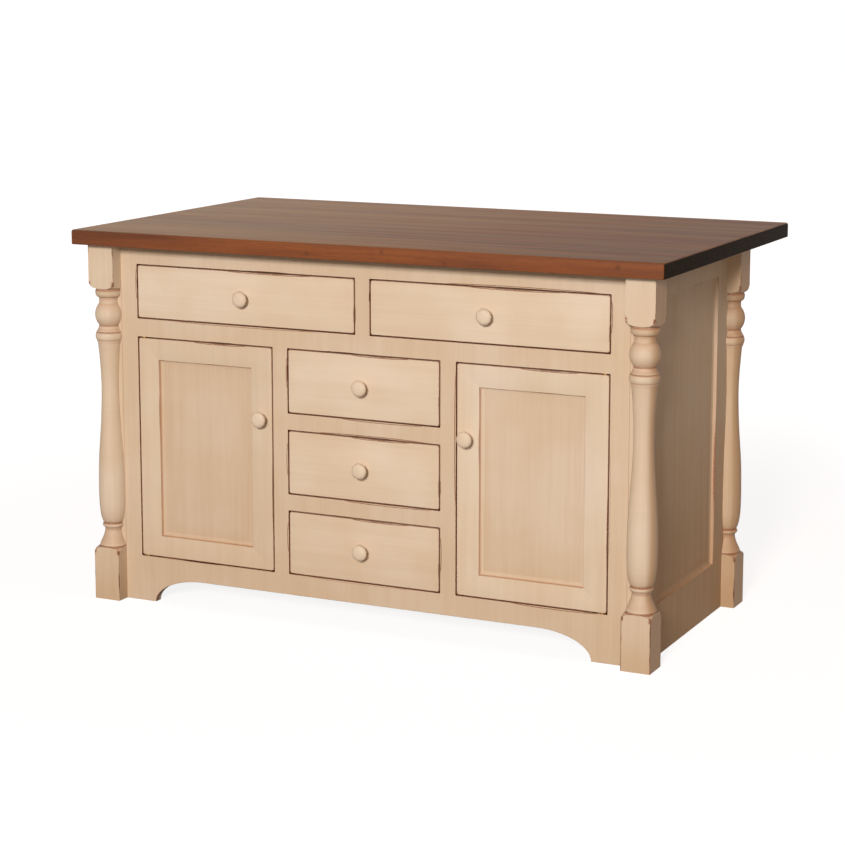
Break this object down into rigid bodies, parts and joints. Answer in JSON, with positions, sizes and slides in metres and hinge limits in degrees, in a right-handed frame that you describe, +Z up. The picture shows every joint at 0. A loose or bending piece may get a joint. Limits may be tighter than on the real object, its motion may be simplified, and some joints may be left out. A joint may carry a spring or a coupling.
{
  "type": "kitchen island unit",
  "caption": "Kitchen island with an overhanging wooden worktop on turned corner posts, inset drawers, panelled cupboard doors and an arched bottom rail.",
  "frame": {"origin": "on the floor, under the middle of the worktop, which is the bottom centre of the part's box", "axes": "+X along the front to the viewer's right, +Y from the drawers towards the back, +Z up"},
  "size_m": [1.524, 0.914, 0.925],
  "materials": {
    "painted_wood": "satin cream paint with a brown glaze in the seams and rubbed edges",
    "stained_maple": "stained maple under a satin lacquer",
    "bare_maple": "clear matt lacquer on bare maple",
    "plywood": "sanded plywood",
    "brass_hinge": "satin",
    "steel": "zinc plated",
    "catch_plastic": "moulded"
  },
  "bodies": {
    "cabinet": {"worktop": "stained_maple", "post_front_left": "painted_wood", "post_front_right": "painted_wood", "post_back_left": "painted_wood", "post_back_right": "painted_wood", "front_stiles": "painted_wood", "front_rails": "painted_wood", "front_arched_rail": "painted_wood", "side_frame_left": "painted_wood", "side_panel_left": "painted_wood", "side_frame_right": "painted_wood", "side_panel_right": "painted_wood", "back_frame": "painted_wood", "back_panels": "painted_wood", "cabinet_floor": "bare_maple", "floor_battens": "bare_maple", "partitions": "bare_maple", "web_frame": "bare_maple", "top_drawer_guides": "bare_maple", "bank_runners": "bare_maple", "drawer_stops": "bare_maple", "shelves": "bare_maple", "shelf_battens": "bare_maple", "worktop_cleats": "bare_maple", "worktop_screws": "steel", "hinge_plates": "brass_hinge", "door_catches": "catch_plastic"},
    "drawer_top_left": {"drawer_top_left_front": "painted_wood", "drawer_top_left_box": "bare_maple", "drawer_top_left_bottom": "plywood", "drawer_top_left_knob": "painted_wood"},
    "drawer_top_right": {"drawer_top_right_front": "painted_wood", "drawer_top_right_box": "bare_maple", "drawer_top_right_bottom": "plywood", "drawer_top_right_knob": "painted_wood"},
    "drawer_upper": {"drawer_upper_front": "painted_wood", "drawer_upper_box": "bare_maple", "drawer_upper_bottom": "plywood", "drawer_upper_knob": "painted_wood"},
    "drawer_middle": {"drawer_middle_front": "painted_wood", "drawer_middle_box": "bare_maple", "drawer_middle_bottom": "plywood", "drawer_middle_knob": "painted_wood"},
    "drawer_lower": {"drawer_lower_front": "painted_wood", "drawer_lower_box": "bare_maple", "drawer_lower_bottom": "plywood", "drawer_lower_knob": "painted_wood"},
    "door_left": {"door_left_frame": "painted_wood", "door_left_panel": "painted_wood", "door_left_knob": "painted_wood", "door_left_hinges": "brass_hinge", "door_left_strike": "steel"},
    "door_right": {"door_right_frame": "painted_wood", "door_right_panel": "painted_wood", "door_right_knob": "painted_wood", "door_right_hinges": "brass_hinge", "door_right_strike": "steel"}
  },
  "joints": [
    {"name": "drawer_top_left_slide", "type": "slide", "parent": "cabinet", "child": "drawer_top_left", "axis": [0, -1, 0], "range_m": [0, 0.38]},
    {"name": "drawer_top_right_slide", "type": "slide", "parent": "cabinet", "child": "drawer_top_right", "axis": [0, -1, 0], "range_m": [0, 0.38]},
    {"name": "drawer_upper_slide", "type": "slide", "parent": "cabinet", "child": "drawer_upper", "axis": [0, -1, 0], "range_m": [0, 0.38]},
    {"name": "drawer_middle_slide", "type": "slide", "parent": "cabinet", "child": "drawer_middle", "axis": [0, -1, 0], "range_m": [0, 0.38]},
    {"name": "drawer_lower_slide", "type": "slide", "parent": "cabinet", "child": "drawer_lower", "axis": [0, -1, 0], "range_m": [0, 0.38]},
    {"name": "door_left_hinge", "type": "hinge", "parent": "cabinet", "child": "door_left", "pos_m": [-0.6015, -0.384, 0.3885], "axis": [0, 0, -1], "range_deg": [0, 110]},
    {"name": "door_right_hinge", "type": "hinge", "parent": "cabinet", "child": "door_right", "pos_m": [0.6015, -0.384, 0.3885], "axis": [0, 0, 1], "range_deg": [0, 110]}
  ]
}
